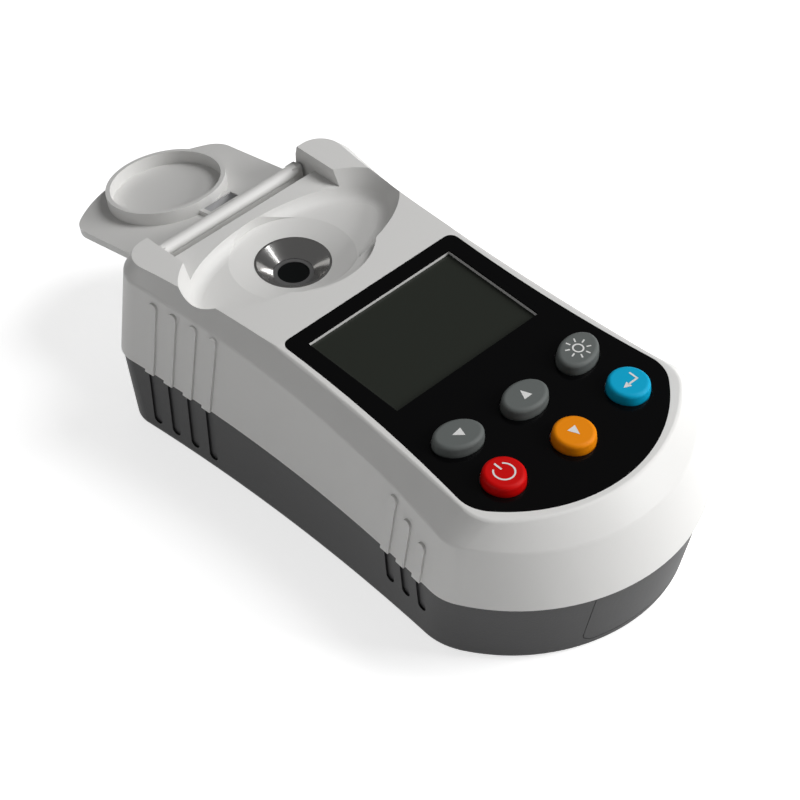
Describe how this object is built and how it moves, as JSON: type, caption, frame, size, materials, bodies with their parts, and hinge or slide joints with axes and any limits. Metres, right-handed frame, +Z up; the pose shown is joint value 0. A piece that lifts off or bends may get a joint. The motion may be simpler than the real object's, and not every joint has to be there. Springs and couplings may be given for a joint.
{
  "type": "digital refractometer",
  "caption": "Hand-held digital refractometer: a waisted two-tone housing with a sample dish and steel cup at one end, a hinged lid, a dark display and coloured keys",
  "frame": {"origin": "on the table under the middle of the housing, in the plane the four feet stand on", "axes": "+Z up, +Y from the keys towards the sample dish and lid, +X to the right for a reader at the key end"},
  "size_m": [0.0724, 0.1588, 0.0413],
  "materials": {
    "shell_white": "fine satin moulding",
    "lid_white": "fine satin moulding",
    "base_grey": "satin dark grey",
    "door_grey": "satin dark grey",
    "panel_black": "glossy black film",
    "display_glass": "dark grey-green display glass",
    "backlight_white": "diffusing white",
    "inner_plastic": "plain black moulding",
    "board_green": "solder mask",
    "chip_black": "moulded package",
    "contact_metal": "nickel plated strip",
    "cell_jacket": "printed jacket on a metal can",
    "screw_steel": "zinc plated",
    "key_grey": "moulded silicone",
    "key_red": "moulded silicone",
    "key_orange": "moulded silicone",
    "key_blue": "moulded silicone",
    "cup_steel": "polished stainless steel",
    "seal_grey": "soft seal",
    "prism_glass": "polished optical glass",
    "lamp_clear": "clear epoxy",
    "magnet_metal": "nickel plated",
    "foot_rubber": "matt rubber"
  },
  "bodies": {
    "housing": {"board_components": "chip_black", "board_screw_1": "screw_steel", "board_screw_2": "screw_steel", "cell_left": "cell_jacket", "cell_right": "cell_jacket", "contact_left": "contact_metal", "contact_right": "contact_metal", "foot_1": "foot_rubber", "foot_2": "foot_rubber", "foot_3": "foot_rubber", "foot_4": "foot_rubber", "front_panel": "panel_black", "hinge_pin_left": "screw_steel", "hinge_pin_right": "screw_steel", "housing_screw_1": "screw_steel", "housing_screw_2": "screw_steel", "housing_screw_3": "screw_steel", "housing_screw_4": "screw_steel", "key_switches": "chip_black", "lamp": "lamp_clear", "lamp_board": "board_green", "lcd_backlight": "backlight_white", "lcd_frame": "inner_plastic", "lcd_glass": "display_glass", "lid_sensor": "chip_black", "lower_housing": "base_grey", "main_board": "board_green", "optic_screw_1": "screw_steel", "optic_screw_2": "screw_steel", "prism": "prism_glass", "prism_holder": "inner_plastic", "prism_seal": "seal_grey", "sample_cup": "cup_steel", "sensor_board": "board_green", "sensor_chip": "chip_black", "thermistor": "chip_black", "upper_housing": "shell_white"},
    "lid": {"lid": "lid_white", "lid_magnet": "magnet_metal"},
    "battery_door": {"battery_door": "door_grey", "door_link": "contact_metal"},
    "key_left": {"key_left": "key_grey"},
    "key_up": {"key_up": "key_grey"},
    "key_light": {"key_light": "key_grey"},
    "key_power": {"key_power": "key_red"},
    "key_down": {"key_down": "key_orange"},
    "key_enter": {"key_enter": "key_blue"}
  },
  "joints": [
    {"name": "lid_hinge", "type": "hinge", "parent": "housing", "child": "lid", "pos_m": [0, 0.0615, 0.0363], "axis": [1, 0, 0], "range_deg": [0, 190.9]},
    {"name": "battery_door_slide", "type": "slide", "parent": "housing", "child": "battery_door", "axis": [0, -1, 0], "range_m": [0, 0.03]},
    {"name": "key_left_press", "type": "slide", "parent": "housing", "child": "key_left", "axis": [0, 0.0688, -0.9976], "range_m": [0, 0.0006], "stiffness_N_per_m": 2500},
    {"name": "key_up_press", "type": "slide", "parent": "housing", "child": "key_up", "axis": [0, 0.0688, -0.9976], "range_m": [0, 0.0006], "stiffness_N_per_m": 2500},
    {"name": "key_light_press", "type": "slide", "parent": "housing", "child": "key_light", "axis": [0, 0.0688, -0.9976], "range_m": [0, 0.0006], "stiffness_N_per_m": 2500},
    {"name": "key_power_press", "type": "slide", "parent": "housing", "child": "key_power", "axis": [0, 0.0688, -0.9976], "range_m": [0, 0.0006], "stiffness_N_per_m": 2500},
    {"name": "key_down_press", "type": "slide", "parent": "housing", "child": "key_down", "axis": [0, 0.0688, -0.9976], "range_m": [0, 0.0006], "stiffness_N_per_m": 2500},
    {"name": "key_enter_press", "type": "slide", "parent": "housing", "child": "key_enter", "axis": [0, 0.0688, -0.9976], "range_m": [0, 0.0006], "stiffness_N_per_m": 2500}
  ]
}
